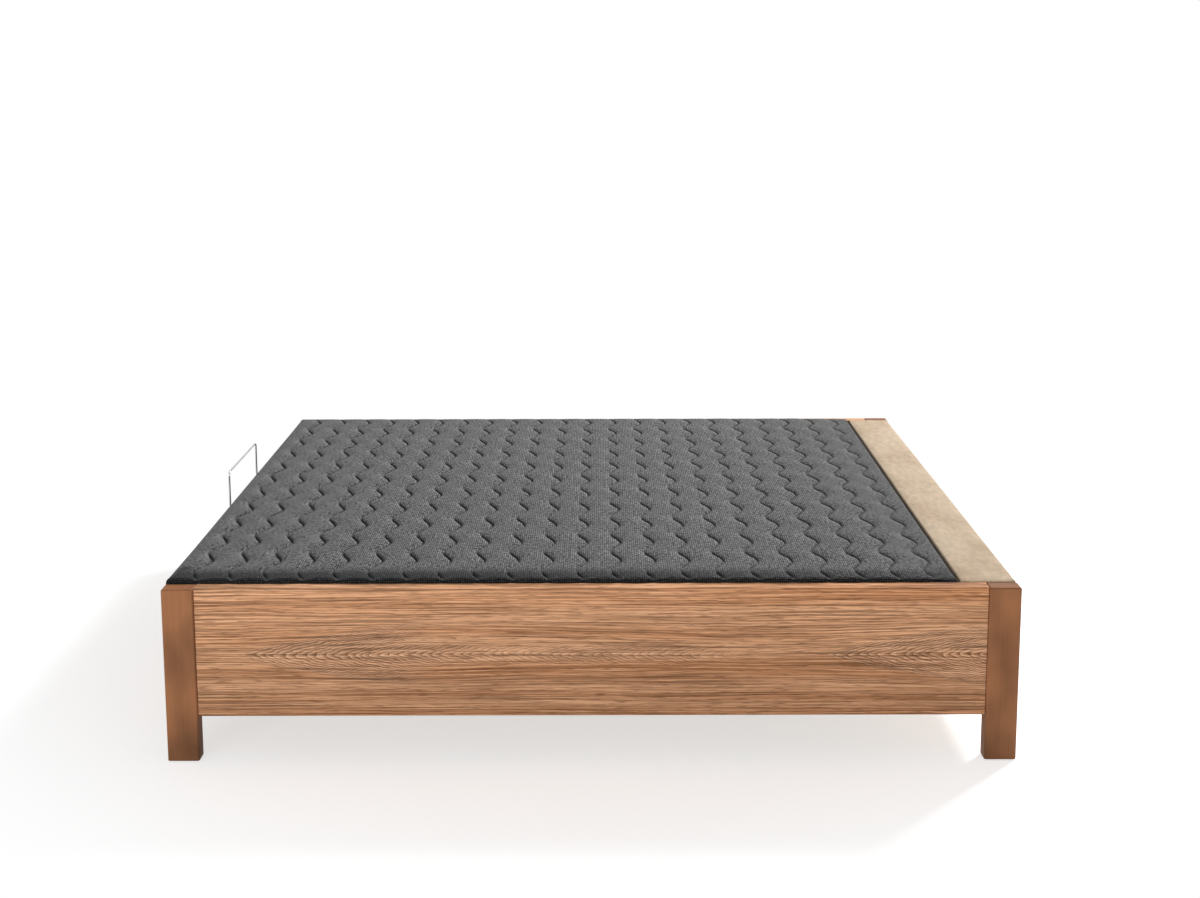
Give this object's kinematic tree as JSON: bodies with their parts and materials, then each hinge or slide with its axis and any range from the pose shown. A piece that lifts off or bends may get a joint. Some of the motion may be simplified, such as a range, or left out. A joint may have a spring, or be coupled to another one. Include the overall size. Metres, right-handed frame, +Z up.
{
  "type": "storage bed base",
  "caption": "Bed base on corner posts with wood panels round a storage box, closed by a quilted platform that tips up at the foot end on gas struts.",
  "frame": {"origin": "on the floor, below the middle of the bed", "axes": "+X along the bed towards the head end, +Y across it towards the back side, +Z up"},
  "size_m": [2.158, 1.68, 0.557],
  "materials": {
    "post_wood": "satin brown stain",
    "panel_laminate": "satin walnut laminate",
    "glide_plastic": "matt black",
    "painted_steel": "satin dark grey",
    "zinc_steel": "zinc plated",
    "bush_plastic": "matt black",
    "inner_wood": "plain pale wood",
    "bumper_rubber": "matt black",
    "deck_fabric": "beige suede-like cloth",
    "cover_fabric": "charcoal knit",
    "bright_chrome": "bright",
    "cylinder_paint": "satin black"
  },
  "bodies": {
    "bed_frame": {"centre_beam": "inner_wood", "centre_leg_foot": "inner_wood", "centre_leg_head": "inner_wood", "corner_bolts": "zinc_steel", "corner_bracket_back_foot": "painted_steel", "corner_bracket_back_head": "painted_steel", "corner_bracket_front_foot": "painted_steel", "corner_bracket_front_head": "painted_steel", "floor_glides": "glide_plastic", "floor_rail_back": "inner_wood", "floor_rail_foot": "inner_wood", "floor_rail_front": "inner_wood", "floor_rail_head": "inner_wood", "foot_end_panel": "panel_laminate", "frame_plate_back": "painted_steel", "frame_plate_bolts": "zinc_steel", "frame_plate_front": "painted_steel", "head_deck_board": "inner_wood", "head_deck_cover": "deck_fabric", "head_deck_rail": "inner_wood", "head_end_panel": "panel_laminate", "ledger_back": "inner_wood", "ledger_front": "inner_wood", "pivot_bushes": "bush_plastic", "pivot_pin_back": "zinc_steel", "pivot_pin_front": "zinc_steel", "platform_bumpers": "bumper_rubber", "post_back_foot": "post_wood", "post_back_head": "post_wood", "post_front_foot": "post_wood", "post_front_head": "post_wood", "side_panel_back": "panel_laminate", "side_panel_front": "panel_laminate", "storage_floor_back": "inner_wood", "storage_floor_front": "inner_wood"},
    "platform": {"cross_rail_1": "inner_wood", "cross_rail_2": "inner_wood", "cross_rail_3": "inner_wood", "cross_rail_4": "inner_wood", "cross_rail_5": "inner_wood", "cross_rail_6": "inner_wood", "lift_arm_back": "painted_steel", "lift_arm_bolts": "zinc_steel", "lift_arm_front": "painted_steel", "mattress_retainer": "bright_chrome", "platform_board": "inner_wood", "platform_rail_back": "inner_wood", "platform_rail_front": "inner_wood", "quilted_cover": "cover_fabric", "retainer_clips": "zinc_steel"},
    "strut_cylinder_back": {"strut_cylinder_back": "cylinder_paint"},
    "strut_cylinder_front": {"strut_cylinder_front": "cylinder_paint"},
    "strut_rod_back": {"strut_rod_back": "bright_chrome"},
    "strut_rod_front": {"strut_rod_front": "bright_chrome"}
  },
  "joints": [
    {"name": "platform_lift", "type": "hinge", "parent": "bed_frame", "child": "platform", "pos_m": [0.835, 0, 0.437], "axis": [0, 1, 0], "range_deg": [0, 45]},
    {"name": "strut_rod_front_swing", "type": "hinge", "parent": "bed_frame", "child": "strut_rod_front", "pos_m": [0.66585, -0.78, 0.179], "axis": [0, 1, 0], "range_deg": [0, 22.5]},
    {"name": "strut_cylinder_front_swing", "type": "hinge", "parent": "platform", "child": "strut_cylinder_front", "pos_m": [0.52664, -0.78, 0.42758], "axis": [0, 1, 0], "range_deg": [-22.5, 0]},
    {"name": "strut_rod_back_swing", "type": "hinge", "parent": "bed_frame", "child": "strut_rod_back", "pos_m": [0.66585, 0.78, 0.179], "axis": [0, 1, 0], "range_deg": [0, 22.5]},
    {"name": "strut_cylinder_back_swing", "type": "hinge", "parent": "platform", "child": "strut_cylinder_back", "pos_m": [0.52664, 0.78, 0.42758], "axis": [0, 1, 0], "range_deg": [-22.5, 0]}
  ],
  "couplings": [
    {"joint": "strut_rod_front_swing", "follows": "platform_lift", "ratio": 0.5},
    {"joint": "strut_cylinder_front_swing", "follows": "platform_lift", "ratio": -0.5},
    {"joint": "strut_rod_back_swing", "follows": "platform_lift", "ratio": 0.5},
    {"joint": "strut_cylinder_back_swing", "follows": "platform_lift", "ratio": -0.5}
  ]
}
